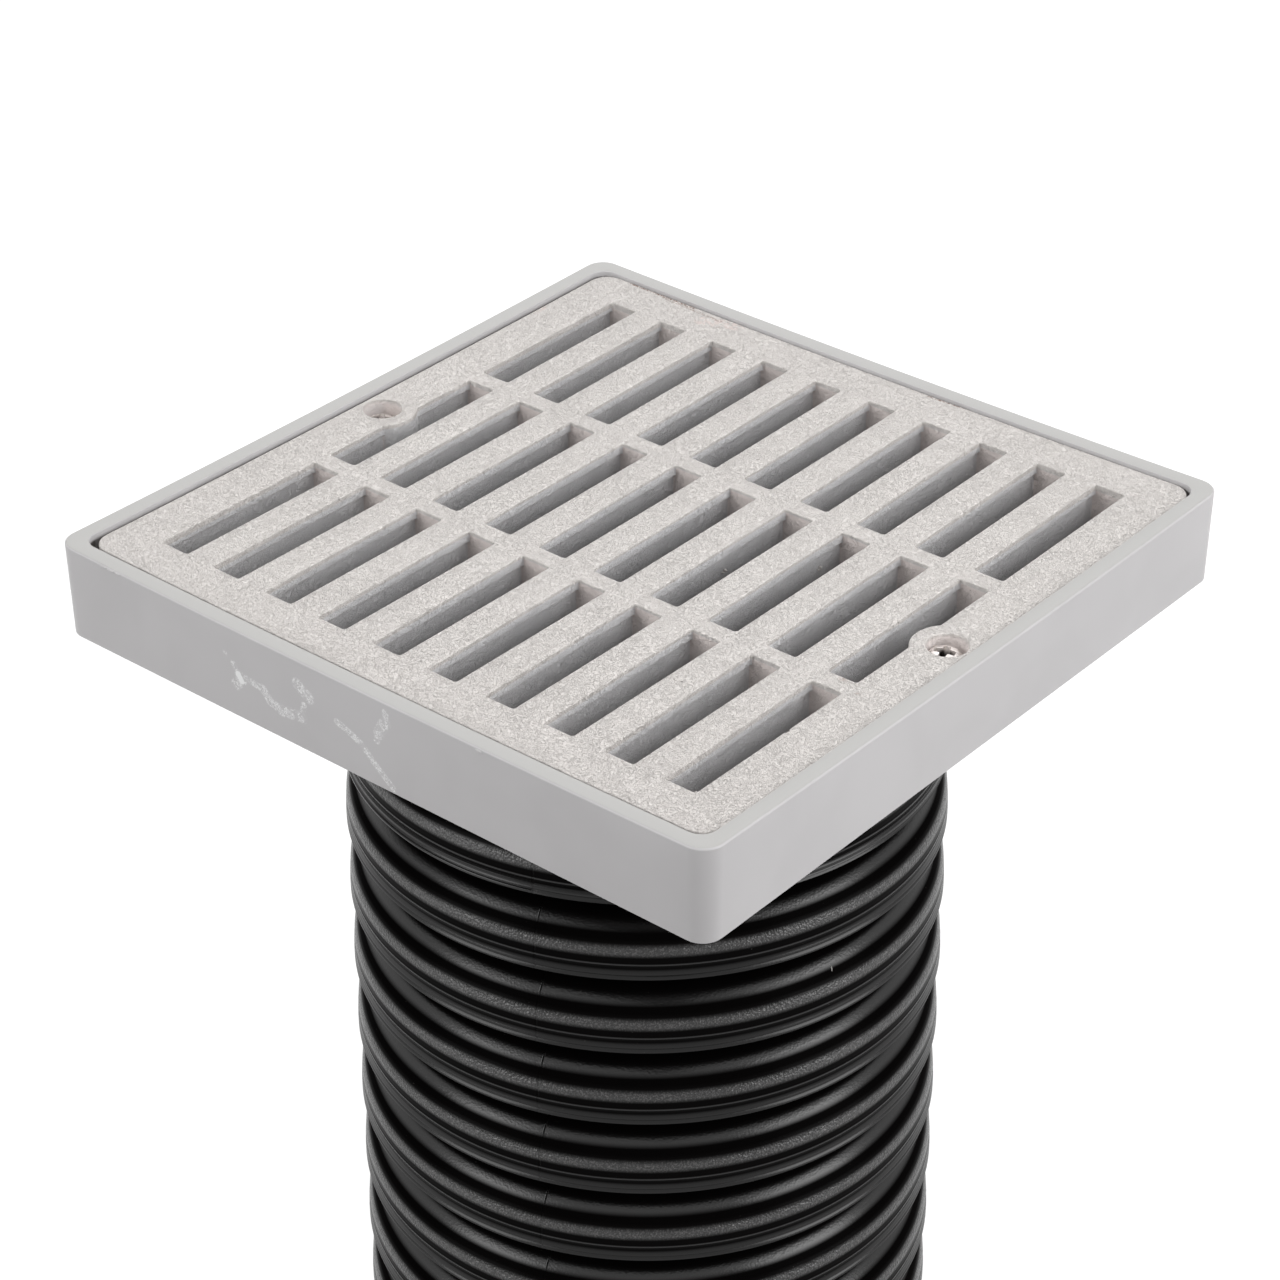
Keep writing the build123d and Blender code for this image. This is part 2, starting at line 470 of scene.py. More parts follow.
# Finishes
@dataclass(frozen=True)
class GrainedPlastic:
    """Warm light grey plastic, taken as polypropylene and injection-moulded, as on the grate.

    Its mould leaves a leather grain. That gives a matt face with fine dark wrinkles, painted darker towards the front
    corner. Painted shade, with some grime, lies low in the slots, and painted shade lies in the gap round the grate.
    """

    name: str = "warm_grey_grained_plastic"
    colour: str = "#E1DCD8"
    cloudy: str = "#DDD8D4"
    light: str = "#F2EFEC"
    dark: str = "#B5AFAB"
    fleck: str = "#958C87"
    # Lit copies of the face's tone, as painted light: one for the walls and a lighter one for their ends
    wall: str = "#E6E5E6"
    lit_end_wall: str = "#F3E9E5"
    # Painted shade, with some grime, low in the openings and in the gap round the grate
    shade_and_grime: str = "#4F4A48"
    bore: str = "#F6EEEB"
    pink: str = "#F1DDD7"
    soil: str = "#8F6F63"
    spot: str = "#3B3431"
    # Patches in a millimetre. The grain is drawn coarser than the real one, so that the render shows it.
    wrinkles: float = 0.8
    pits: float = 1.3
    clouds: float = 0.035
    flecks: float = 0.9
    # Values of each pattern over which it sets in
    wrinkled: Flat = (0.0, 0.05)
    pitted: Flat = (0.52, 0.68)
    clouded: Flat = (0.3, 0.7)
    flecked: Flat = (0.70, 0.76)
    # The grain's depth in millimetres, with the wrinkles' and the pits' shares of it
    grain_deep: float = 0.3
    wrinkle_share: float = 0.6
    pit_share: float = 0.4
    relief: float = 0.9
    # How strong the tone of the wrinkles, the pits and the flecks is
    wrinkle_tone: float = 0.28
    pit_tone: float = 0.45
    fleck_tone: float = 0.3
    # How much darker the wrinkles are along the front corner's edge, within which distance, and fading over which
    front_tone: float = 0.36
    front_edge: tuple[Point, Point] = ((109.0, -109.0, TOP), (40.0, -109.0, TOP))
    front_reach: Flat = (12.0, 90.0)
    # How strong the painted shade, with some grime, is on the lower walls, at their foot and in the gap round the
    # grate
    wall_shade: float = 0.3
    foot_shade: float = 0.4
    gap_shade: float = 0.8
    roughness: float = 0.6
    ior: float = 1.45

    def make(self) -> bpy.types.Material:
        """Builds the material.

        Returns:
            The material.
        """
        s = Shader(self.name)
        bent = s.add(MATH, s.mottle(self.wrinkles, 3.0, 2.2), 0.5, operation="SUBTRACT")
        ridge = s.add(RANGE, s.add(MATH, bent, operation="ABSOLUTE"), *self.wrinkled, **SMOOTH)
        pits = s.mottle(self.pits, 2.0, 0.8, 31.0)
        height = s.add(
            MATH, s.overlap(ridge, self.wrinkle_share), s.overlap(pits, self.pit_share), operation="ADD")
        tone = self.soiled(s, self.walls(s, self.face(s, ridge, pits)))
        return s.finish({
            "Base Color": tone, "Roughness": self.roughness, "IOR": self.ior,
            "Normal": s.add("ShaderNodeBump", {
                "Height": height, "Distance": self.grain_deep * MM, "Strength": self.relief}),
        })

    def face(self, s: Shader, ridge: Socket, pits: Socket) -> Socket:
        """The moulding's own colour, with its wrinkles and pits.

        Args:
            s: the material's tree.
            ridge: zero in the wrinkles and one between them.
            pits: the finer pattern.

        Returns:
            The tone.
        """
        clouds = s.add(RANGE, s.mottle(self.clouds, 3.0, 0.3, 7.0), *self.clouded, **SMOOTH)
        tone = s.paint(linear(self.cloudy), self.colour, clouds)
        tone = s.paint(tone, self.light, s.add(RANGE, pits, *self.pitted, **SMOOTH), self.pit_tone)
        front = s.near(*self.front_edge, *self.front_reach)
        deep = s.add(MATH, s.overlap(front, self.front_tone), self.wrinkle_tone, operation="ADD")
        tone = s.paint(tone, self.dark, s.add(MATH, 1.0, ridge, operation="SUBTRACT"), deep)
        flecks = s.add(RANGE, s.mottle(self.flecks, 1.0, 0.0, 53.0), *self.flecked, **SMOOTH)
        return s.paint(tone, self.fleck, flecks, self.fleck_tone)

    def walls(self, s: Shader, tone: Socket) -> Socket:
        """Paints light on the openings' walls, more on their ends, and painted shade with some grime low in them
        and in the gap round the grate.

        Args:
            s: the material's tree.
            tone: the tone so far.

        Returns:
            The new tone.
        """
        upright = s.add(MATH, s.facing(2), operation="ABSOLUTE")
        side = s.add(MATH, 1.0, upright, operation="SUBTRACT", use_clamp=True)
        under = s.add(RANGE, s.z, TOP - 1.0, TOP - 0.4, 1.0, 0.0, **SMOOTH)
        wall = s.overlap(s.add(RANGE, side, 0.5, 0.9, **SMOOTH), under)
        end = s.add(RANGE, s.add(MATH, s.facing(1), operation="ABSOLUTE"), 0.6, 0.9, **SMOOTH)
        deep = s.add(RANGE, s.z, LEDGE - 1.0, TOP - 3.5, 1.0, 0.0, **SMOOTH)
        low = s.add(RANGE, s.z, LEDGE - 1.0, LEDGE + 5.0, self.foot_shade, 0.0, **SMOOTH)
        # Painted light on the walls, lighter still on their ends
        tone = s.paint(tone, self.wall, wall)
        tone = s.paint(tone, self.lit_end_wall, wall, end)
        # Painted shade, with some grime: deep in the openings, in the gap round the grate and at the walls' foot
        tone = s.paint(tone, self.shade_and_grime, deep, self.wall_shade)
        tone = s.paint(tone, self.shade_and_grime, s.edge(GRATE.side / 2 - 0.35, 0.2), s.buried(), self.gap_shade)
        return s.paint(tone, self.shade_and_grime, low)

    def soiled(self, s: Shader, tone: Socket) -> Socket:
        """Adds the pale bores and the stains that the photograph shows.

        Args:
            s: the material's tree.
            tone: the tone so far.

        Returns:
            The new tone.
        """
        tone = s.paint(tone, self.bore, s.marks(BORES), s.buried())
        tone = s.stain(tone, self.pink, PINK, 0.6)
        tone = s.stain(tone, self.soil, SOILED, 1.5)
        return s.stain(tone, self.spot, DARK_SPOTS)


@dataclass(frozen=True)
class SmoothPlastic:
    """Cooler grey plastic, taken as PVC and injection-moulded in a plain mould, as on the frame.

    It is smooth, so it has a soft sheen and hardly any texture. White scuffs show where it was rubbed.
    """

    name: str = "neutral_grey_smooth_plastic"
    colour: str = "#C3C1C2"
    cloudy: str = "#BEBCBD"
    # Painted shade: a darker copy of the tone, for the rim's top that faces up
    top: str = "#B5B4B2"
    scuff: str = "#F2F2F2"
    # Painted shade in the gap round the grate
    gap: str = "#5E5A58"
    # Patches in a millimetre
    clouds: float = 0.03
    scratches: float = 1.5
    patches: float = 0.45
    ripple: float = 0.9
    # Values of each pattern over which it sets in, and how strong a scuff is between its patches and on them
    clouded: Flat = (0.3, 0.7)
    scratched: Flat = (0.03, 0.08)
    patched: Flat = (0.4, 0.52)
    patch_power: Flat = (0.15, 1.0)
    # Marks of at least this strength are whole
    whole: Flat = (0.97, 1.0)
    # The ripple's depth in millimetres
    ripple_deep: float = 0.02
    relief: float = 0.5
    roughness: float = 0.42
    ior: float = 1.46

    def make(self) -> bpy.types.Material:
        """Builds the material.

        Returns:
            The material.
        """
        s = Shader(self.name)
        clouds = s.add(RANGE, s.mottle(self.clouds, 2.0, 0.4), *self.clouded, **SMOOTH)
        tone = s.paint(linear(self.cloudy), self.colour, clouds)
        # Painted shade on the faces that look up
        tone = s.paint(tone, self.top, s.add(RANGE, s.facing(2), 0.7, 0.95, **SMOOTH))
        tone = s.paint(tone, self.scuff, self.worn(s))
        pocket = FRAME.pocket_side / 2
        # Painted shade on the pocket's wall, in the gap round the grate
        tone = s.paint(tone, self.gap, s.edge(pocket + 0.1, -0.15), s.edge(pocket - 1.5, 0.3), s.buried())
        ripple = s.mottle(self.ripple, 3.0, 0.2, 5.0)
        return s.finish({
            "Base Color": tone, "Roughness": self.roughness, "IOR": self.ior,
            "Normal": s.add("ShaderNodeBump", {
                "Height": ripple, "Distance": self.ripple_deep * MM, "Strength": self.relief}),
        })

    def worn(self, s: Shader) -> Socket:
        """Mask of the scuffs: a lace of scratches, and whole where a mark has full strength.

        Args:
            s: the material's tree.

        Returns:
            The mask.
        """
        bent = s.add(MATH, s.mottle(self.scratches, 3.0, 1.2, 11.0), 0.5, operation="SUBTRACT")
        lace = s.add(RANGE, s.add(MATH, bent, operation="ABSOLUTE"), *self.scratched, 1.0, 0.0, **SMOOTH)
        spread = s.mottle(self.patches, 2.0, 0.8, 17.0)
        patches = s.add(RANGE, spread, *self.patched, *self.patch_power, **SMOOTH)
        marks = s.marks(SCUFFS)
        whole = s.add(RANGE, marks, *self.whole, **SMOOTH)
        return s.overlap(marks, s.add(MATH, s.overlap(lace, patches), whole, operation="MAXIMUM"))


class Band(Enum):
    """Bands of a crest, by height from its middle: where each starts and ends to rise, and to fall."""

    PEBBLED = (1.6, 3.2, 4.2, 6.0)
    SHOULDER = (8.2, 9.7, 10.4, 11.6)
    EDGE = (-0.75, -0.6, -0.3, -0.15)
    LIP = (-6.2, -5.6, -4.5, -4.1)
    RAMP = (-3.9, -3.8, -3.2, -1.9)
    FACE = (-6.6, -6.0, 6.0, 7.0)


# How far the mould polished each band of the crest
GLOSS: dict[Band, float] = {
    Band.PEBBLED: 0.56, Band.SHOULDER: 0.5, Band.EDGE: 0.3, Band.LIP: 0.3, Band.RAMP: 0.28,
}


@dataclass(frozen=True)
class Polyethylene:
    """Black polyethylene, blown into a running mould, as on the pipe.

    One band of each crest is pebbled, with glints painted into its colour. The valleys stay dull, and thin edges and
    the mould's seam catch the light.
    """

    name: str = "black_pebbled_polyethylene"
    colour: str = "#070606"
    dust: str = "#6E6A66"
    # Painted glint: a lighter tone in the pebbled band
    painted_glint: str = "#565454"
    speck: str = "#C9C6C2"
    # Patches in a millimetre, then sizes in millimetres
    pebbles: float = 1.7
    mottles: float = 0.9
    painted_glints: float = 2.0
    dusts: float = 1.1
    pebble_deep: float = 0.36
    line_pitch: float = 1.15
    line_step: float = 0.5
    line_deep: float = 0.6
    seam_wide: Flat = (0.1, 0.45)
    # Heights from the crest's middle between which the fine lines set in, and between which they end
    lines_from: Flat = (-7.2, -6.6)
    lines_to: Flat = (-1.4, -0.8)
    # Values of each pattern over which it sets in, and how strong it is
    dusty: Flat = (0.76, 0.79)
    dust_power: float = 0.25
    painted_glint_range: Flat = (0.5, 0.62)
    painted_glint_power: float = 0.65
    # Relief of the pebbles, the mottling, the fine lines and the seam, and how much of the first two is on each part
    pebble_share: float = 0.9
    mottle_share: float = 0.5
    line_share: float = 0.12
    seam_share: float = 0.4
    shoulder_grain: float = 0.1
    grained_relief: float = 0.9
    plain_relief: float = 0.04
    # Gloss outside the polished bands, the valleys' share of it, and how far the seam dulls the shoulder and the rest
    plain_gloss: float = 0.014
    valley_gloss: float = 0.15
    shoulder_dull: float = 0.75
    seam_dull: float = 0.2
    roughness: float = 0.24
    rougher: float = 0.04
    ior: float = 1.5

    def make(self) -> bpy.types.Material:
        """Builds the material.

        Returns:
            The material.
        """
        s = Shader(self.name)
        band = self.bands(s)
        shoulder = s.overlap(band[Band.SHOULDER], self.shoulder_grain)
        grained = s.add(MATH, band[Band.PEBBLED], shoulder, operation="MAXIMUM")
        turn = s.add(MATH, s.y, s.x, operation="ARCTAN2")
        past = s.add(MATH, turn, math.radians(PIPE.seam), operation="SUBTRACT")
        around = s.overlap(past, PIPE.crest_r)
        seam = s.add(RANGE, s.add(MATH, around, operation="ABSOLUTE"), *self.seam_wide, 1.0, 0.0, **SMOOTH)
        dust = s.add(RANGE, s.mottle(self.dusts, 2.0, 0.0, 71.0), *self.dusty, **SMOOTH)
        painted_glint = s.add(RANGE, s.mottle(self.painted_glints, 2.0, 0.5, 43.0), *self.painted_glint_range, **SMOOTH)
        tone = s.paint(linear(self.colour), self.dust, dust, self.dust_power)
        # Painted glints in the pebbled band
        tone = s.paint(tone, self.painted_glint, band[Band.PEBBLED], painted_glint, self.painted_glint_power)
        tone = s.paint(tone, self.speck, s.marks(SPECKS))
        return s.finish({
            "Base Color": tone, "IOR": self.ior,
            "Roughness": s.add(MATH, s.overlap(grained, self.rougher), self.roughness, operation="ADD"),
            "Specular IOR Level": self.gloss(s, band, seam),
            "Normal": self.relief(s, grained, around, seam),
        })

    def bands(self, s: Shader) -> dict[Band, Socket]:
        """Masks of the crest's bands, alike on every crest.

        Args:
            s: the material's tree.

        Returns:
            Each band's mask.
        """
        up = s.add(MATH, s.z, PIPE.first_crest, operation="SUBTRACT")
        turns = s.add(MATH, s.add(MATH, up, PIPE.pitch, operation="DIVIDE"), 0.5, operation="ADD")
        part = s.add(MATH, s.add(MATH, turns, operation="FRACT"), 0.5, operation="SUBTRACT")
        height = s.overlap(part, PIPE.pitch)
        return {band: s.overlap(s.add(RANGE, height, *band.value[:2], **SMOOTH),
                                s.add(RANGE, height, *band.value[2:], 1.0, 0.0, **SMOOTH)) for band in Band}

    def gloss(self, s: Shader, band: dict[Band, Socket], seam: Socket) -> Socket:
        """Specular level, high on the polished bands and dull along the seam.

        Args:
            s: the material's tree.
            band: each band's mask.
            seam: the seam's mask.

        Returns:
            The level.
        """
        shine: Value = 0.0
        for one, power in GLOSS.items():
            shine = s.add(MATH, shine, s.overlap(band[one], power), operation="MAXIMUM")
        face = s.add(MATH, band[Band.FACE], self.valley_gloss, operation="ADD")
        shine = s.add(MATH, shine, s.overlap(face, self.plain_gloss), operation="ADD")
        dull = s.add(MATH, s.overlap(band[Band.SHOULDER], self.shoulder_dull), self.seam_dull, operation="ADD")
        return s.overlap(s.add(MATH, 1.0, s.overlap(seam, dull), operation="SUBTRACT"), shine)

    def relief(self, s: Shader, grained: Socket, around: Socket, seam: Socket) -> Socket:
        """Bump of the pebbles, the seam and the fine lines round the last crest but one.

        Args:
            s: the material's tree.
            grained: mask of the pebbled parts.
            around: distance past the seam, round the pipe.
            seam: the seam's mask.

        Returns:
            The normal.
        """
        pebble = s.add("ShaderNodeTexVoronoi", {
            "Vector": s.place, "Scale": self.pebbles, "Randomness": 1.0}, out="Distance", feature="SMOOTH_F1")
        mottled = s.mottle(self.mottles, 3.0, 0.4, 19.0)
        pebbles = s.add("ShaderNodeBump", {
            "Height": s.add(
                MATH, s.overlap(pebble, self.pebble_share), s.overlap(mottled, self.mottle_share), operation="ADD"),
            "Distance": self.pebble_deep * MM,
            "Strength": s.add(
                MATH, s.overlap(grained, self.grained_relief), self.plain_relief, operation="ADD"),
        })
        # The lines step by half a millimetre at the seam, where the two mould halves meet
        step = s.overlap(s.add(MATH, around, 0.0, operation="GREATER_THAN"), self.line_step)
        turns = s.overlap(s.add(MATH, s.z, step, operation="ADD"), 2 * math.pi / self.line_pitch)
        middle = PIPE.first_crest + (PIPE.count - 2) * PIPE.pitch
        lines = s.overlap(
            s.add(MATH, turns, operation="SINE"),
            s.add(RANGE, s.z, *(middle + z for z in self.lines_from), **SMOOTH),
            s.add(RANGE, s.z, *(middle + z for z in self.lines_to), 1.0, 0.0, **SMOOTH), self.line_share)
        return s.add("ShaderNodeBump", {
            "Height": s.add(MATH, lines, s.overlap(seam, self.seam_share), operation="SUBTRACT"),
            "Distance": self.line_deep * MM, "Strength": 1.0, "Normal": pebbles,
        })


@dataclass(frozen=True)
class StainlessSteel:
    """Stainless steel, cold-headed and a little worn, as on the screws.

    It is bright with a soft, uneven shine, and the recess's floor is painted dark, as painted shade.
    """

    name: str = "stainless_steel_worn"
    colour: str = "#F0EAE7"
    # Painted shade for the recess's floor
    dull: str = "#CFC8C4"
    recess_shade: str = "#2A2523"
    # Patches of wear in a millimetre, their depth in millimetres, and the values over which they set in
    wear: float = 1.1
    wear_deep: float = 0.02
    relief: float = 0.4
    dulled: Flat = (0.35, 0.7)
    roughened: Flat = (0.3, 0.7)
    # Depths below the head's top between which the recess's floor takes the painted shade
    well_deep: Flat = (3.2, 2.5)
    metallic: float = 0.8
    roughness: Flat = (0.32, 0.5)

    def make(self) -> bpy.types.Material:
        """Builds the material.

        Returns:
            The material.
        """
        s = Shader(self.name)
        worn = s.mottle(self.wear, 4.0, 0.6)
        recess_shades: list[Mark] = [
            ((x, 0.0, top - self.well_deep[0]), (x, 0.0, top - self.well_deep[1]), SCREW.well_r, 1.0)
            for x, top in ((-GRATE.screw_x, LEFT_HEAD), (GRATE.screw_x, RIGHT_HEAD))]
        tone = s.paint(linear(self.dull), self.colour, s.add(RANGE, worn, *self.dulled, **SMOOTH))
        return s.finish({
            "Base Color": s.stain(tone, self.recess_shade, recess_shades), "Metallic": self.metallic,
            "Roughness": s.add(RANGE, worn, *self.roughened, *self.roughness, **SMOOTH),
            "Normal": s.add("ShaderNodeBump", {
                "Height": worn, "Distance": self.wear_deep * MM, "Strength": self.relief}),
        })


# Shapes
def arc(cx: float, cy: float, r: float, start: float, end: float, steps: int) -> list[Flat]:
    """Points on an arc, both ends included. Angles are in degrees."""
    turns = [math.radians(start + (end - start) * i / steps) for i in range(steps + 1)]
    return [(cx + r * math.cos(t), cy + r * math.sin(t)) for t in turns]


def rounded_square(half: float, r: float, steps: int = 8, along: int = 24) -> list[Flat]:
    """Counter-clockwise rounded square about the origin, with evenly spaced points on its sides.

    Args:
        half: half of its side.
        r: its corner radius.
        steps: pieces in each corner.
        along: pieces in each side.

    Returns:
        4 * (steps + along) points, in the same order whatever the sizes.
    """
    flat = half - r
    made: list[Flat] = []
    for quarter in range(4):
        turn = math.radians(90 * quarter)
        side = [(half, -flat + 2 * flat * i / along) for i in range(along)]
        corner = arc(flat, flat, r, 0, 90, steps)[:-1]
        for x, y in side + corner:
            made.append((x * math.cos(turn) - y * math.sin(turn), x * math.sin(turn) + y * math.cos(turn)))
    return made


def round_ring(r: float) -> list[Flat]:
    """Circle with one point for each point of rounded_square, in the same directions."""
    return [(x * r / math.hypot(x, y), y * r / math.hypot(x, y)) for x, y in rounded_square(1.0, 0.06)]


def circle(cx: float, cy: float, r: float, steps: int) -> list[Flat]:
    """Counter-clockwise circle."""
    return arc(cx, cy, r, 0, 360, steps)[:-1]


def quarter_round(r: float, steps: int = 3) -> list[Flat]:
    """(offset into the solid, drop) pairs from the flat top to the wall of a rounded edge."""
    turns = [math.pi / 2 * i / steps for i in range(steps + 1)]
    return [(r * (1 - math.sin(t)), r * (1 - math.cos(t))) for t in turns]


def bevelled(cut: float, r: float, steps: int = 3) -> list[Flat]:
    """Outline of a bevel whose two edges are eased.

    Args:
        cut: the bevel's width across and down.
        r: radius of the eased edges.
        steps: pieces in each eased edge.

    Returns:
        (offset into the solid, drop) pairs from the flat top to the wall.
    """
    tangent = r * math.tan(math.pi / 8)
    turns = [math.pi / 4 * i / steps for i in range(steps + 1)]
    upper = [(cut + tangent - r * math.sin(t), r - r * math.cos(t)) for t in turns]
    lower = [(r - r * math.cos(t), cut + tangent - r * math.sin(t)) for t in reversed(turns)]
    return upper + lower


def inside(point: Flat, ring: Sequence[Flat]) -> bool:
    """Tells whether a point lies inside a closed ring.

    Args:
        point: the point.
        ring: the ring's points in order.

    Returns:
        True if it does.
    """
    x, y = point
    hit = False
    for (ax, ay), (bx, by) in zip(ring, [*ring[1:], ring[0]]):
        if (ay > y) != (by > y) and x < (bx - ax) * (y - ay) / (by - ay) + ax:
            hit = not hit
    return hit


class Shell:
    """Vertices and faces in millimetres, gathered into one mesh."""

    def __init__(self) -> None:
        """Starts with no points and no faces."""
        self.points: list[Point] = []
        self.faces: list[tuple[int, ...]] = []

    def ring(self, flat: Iterable[Flat], z: float) -> list[int]:
        """Adds a ring of points.

        Args:
            flat: its outline.
            z: its height.

        Returns:
            The points' indices.
        """
        start = len(self.points)
        self.points += [(x, y, z) for x, y in flat]
        return list(range(start, len(self.points)))

    def bridge(self, a: Sequence[int], b: Sequence[int]) -> None:
        """Adds quads between two rings of as many points."""
        n = len(a)
        self.faces += [(a[i], a[(i + 1) % n], b[(i + 1) % n], b[i]) for i in range(n)]

    def cap(self, low: Sequence[int], high: Sequence[int]) -> None:
        """Closes a solid's two ends with one face each."""
        self.faces += [tuple(reversed(low)), tuple(high)]

    def loft(self, rings: Sequence[Ring], closed: bool = False) -> list[list[int]]:
        """Joins rings in order.

        Args:
            rings: (outline, height) of each.
            closed: whether the last joins the first.

        Returns:
            Each ring's indices.
        """
        made = [self.ring(flat, z) for flat, z in rings]
        for a, b in zip(made, made[1:]):
            self.bridge(a, b)
        if closed:
            self.bridge(made[-1], made[0])
        return made

    def skin(self, outer: Sequence[Flat], holes: Sequence[Sequence[Flat]], z: float, up: bool) -> None:
        """Adds a flat face inside an outline and outside every hole.

        Args:
            outer: the outline.
            holes: the holes' outlines.
            z: its height.
            up: whether it faces up.
        """
        flat: list[Vector] = []
        edges: list[tuple[int, int]] = []
        for ring in (outer, *holes):
            start, n = len(flat), len(ring)
            flat += [Vector(p) for p in ring]
            edges += [(start + i, start + (i + 1) % n) for i in range(n)]
        verts, _, tris, *_ = delaunay_2d_cdt(flat, edges, [], 1, 1e-5)
        base = len(self.points)
        self.points += [(v.x, v.y, z) for v in verts]
        for tri in tris:
            middle = (sum(verts[i].x for i in tri) / len(tri), sum(verts[i].y for i in tri) / len(tri))
            if any(inside(middle, hole) for hole in holes):
                continue
            self.faces.append(tuple(base + i for i in (tri if up else reversed(tri))))

    def lump(self, middle: Point, reach: Point, around: int = 12) -> None:
        """Adds an uneven ellipsoid, for flash, crumbs and burrs.

        Args:
            middle: its middle.
            reach: its half sizes.
            around: points in each of its rings.
        """
        rings: list[Ring] = []
        for tier in (-0.96, -0.7, -0.25, 0.3, 0.72, 0.96):
            wide = math.sqrt(1 - tier ** 2)
            flat = []
            for i in range(around):
                turn = 2 * math.pi * i / around
                rough = wide * random.uniform(0.8, 1.1)
                flat.append((
                    middle[0] + reach[0] * rough * math.cos(turn), middle[1] + reach[1] * rough * math.sin(turn)))
            rings.append((flat, middle[2] + reach[2] * tier))
        made = self.loft(rings)
        self.cap(made[0], made[-1])

    def block(self, low: Point, high: Point) -> None:
        """Adds a plain box.

        Args:
            low: its lowest corner.
            high: its highest corner.
        """
        flat = [(low[0], low[1]), (high[0], low[1]), (high[0], high[1]), (low[0], high[1])]
        made = self.loft([(flat, low[2]), (flat, high[2])])
        self.cap(*made)

    def build(self, name: str, sharp: float = 32.0) -> bpy.types.Object:
        """Makes the object, in metres, with vertices merged and edges over sharp degrees kept sharp.

        Args:
            name: the object's name.
            sharp: angle in degrees.

        Returns:
            The new object, linked to the scene.
        """
        mesh = bpy.data.meshes.new(name)
        mesh.from_pydata([tuple(c * MM for c in p) for p in self.points], [], self.faces)
        return settle(name, mesh, sharp)


def settle(name: str, mesh: bpy.types.Mesh, sharp: float) -> bpy.types.Object:
    """Merges a mesh's vertices, mends its normals and makes it an object.

    Args:
        name: the object's name.
        mesh: the mesh, in metres.
        sharp: edges over this angle in degrees stay sharp.

    Returns:
        The new object, linked to the scene.
    """
    work = bmesh.new()
    work.from_mesh(mesh)
    bmesh.ops.remove_doubles(work, verts=work.verts, dist=WELD * MM)
    bmesh.ops.dissolve_degenerate(work, edges=work.edges, dist=SLIVER * MM)
    bmesh.ops.recalc_face_normals(work, faces=work.faces)
    work.to_mesh(mesh)
    work.free()
    mesh.shade_smooth()
    mesh.set_sharp_from_angle(angle=math.radians(sharp))
    made = bpy.data.objects.new(name, mesh)
    bpy.context.scene.collection.objects.link(made)
    return made


def evaluated(obj: bpy.types.Object) -> bpy.types.Mesh:
    """Gives an object's mesh with its modifiers applied.

    Args:
        obj: the object.

    Returns:
        A new mesh.
    """
    bpy.context.view_layer.update()
    graph = bpy.context.evaluated_depsgraph_get()
    return bpy.data.meshes.new_from_object(obj.evaluated_get(graph), depsgraph=graph)


def flatten(obj: bpy.types.Object, tree: bpy.types.NodeTree, values: dict[str, object],
            sharp: float) -> bpy.types.Object:
    """Runs a Geometry Nodes tree on an object and keeps the result as a plain mesh.

    Args:
        obj: the object, which is removed.
        tree: the node tree.
        values: input name to value.
        sharp: edges over this angle in degrees stay sharp.

    Returns:
        A new object of the same name.
    """
    name = obj.name
    modifier = obj.modifiers.new("build", "NODES")
    modifier.node_group = tree
    for item in tree.interface.items_tree:
        if item.item_type == "SOCKET" and item.in_out == "INPUT" and item.name in values:
            modifier[item.identifier] = values[item.name]
    mesh = evaluated(obj)
    obj.modifiers.clear()
    bpy.data.objects.remove(obj)
    made = settle(name, mesh, sharp)
    mesh.name = name
    return made


class Geometry(Nodes):
    """One Geometry Nodes tree, whose inputs are the given geometry and the named sizes."""

    def __init__(self, name: str, inputs: dict[str, str]) -> None:
        """Starts the tree.

        Args:
            name: the tree's name.
            inputs: further input names, each with its socket type.
        """
        super().__init__(bpy.data.node_groups.new(name, "GeometryNodeTree"))
        face = self.tree.interface
        face.new_socket("Geometry", in_out="INPUT", socket_type="NodeSocketGeometry")
        for label, kind in inputs.items():
            face.new_socket(label, in_out="INPUT", socket_type=kind)
        face.new_socket("Geometry", in_out="OUTPUT", socket_type="NodeSocketGeometry")
        self.given = self.add("NodeGroupInput").node.outputs

    def end(self, geometry: Socket) -> bpy.types.NodeTree:
        """Coats the geometry in the material input and ends the tree.

        Args:
            geometry: the finished geometry.

        Returns:
            The tree.
        """
        coated = self.add("GeometryNodeSetMaterial", {"Geometry": geometry, "Material": self.given["Material"]})
        self.add("NodeGroupOutput", coated)
        return self.tree


def carry(obj: bpy.types.Object, node: str) -> bpy.types.Object:
    """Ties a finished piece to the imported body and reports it.

    Args:
        obj: the piece.
        node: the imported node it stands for.

    Returns:
        The piece.
    """
    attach(obj, ROOT)
    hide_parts(node)
    log.info("%s: %d faces", obj.name, len(obj.data.polygons))
    return obj


